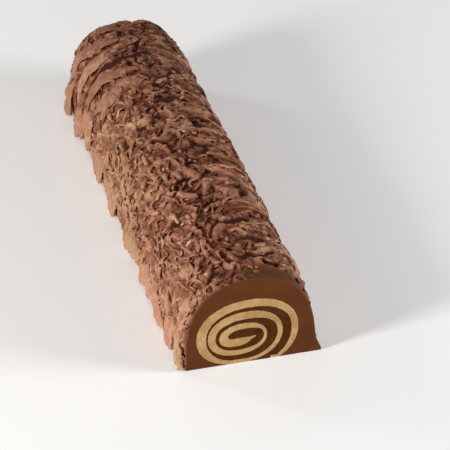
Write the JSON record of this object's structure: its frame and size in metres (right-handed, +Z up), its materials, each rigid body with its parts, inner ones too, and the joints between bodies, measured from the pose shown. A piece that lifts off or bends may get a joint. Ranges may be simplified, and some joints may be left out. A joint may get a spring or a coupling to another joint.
{
  "type": "yule log cake",
  "caption": "Rolled sponge log cake with chocolate filling, a buttercream coat and a rough bark of chocolate shavings, cut square to show the swirl",
  "frame": {"origin": "centre of the footprint, on the table plane", "axes": "+Y along the log toward its hidden end, +X to the right when facing the cut face shown, +Z up"},
  "size_m": [0.0892, 0.32, 0.0615],
  "materials": {
    "sponge": "dry, open crumb",
    "filling": "satin chocolate cream",
    "coat": "smooth matte buttercream",
    "bark": "dull to satin milk chocolate"
  },
  "bodies": {
    "root": {"sponge": "sponge", "filling": "filling", "coat": "coat", "bark": "bark"}
  },
  "joints": []
}
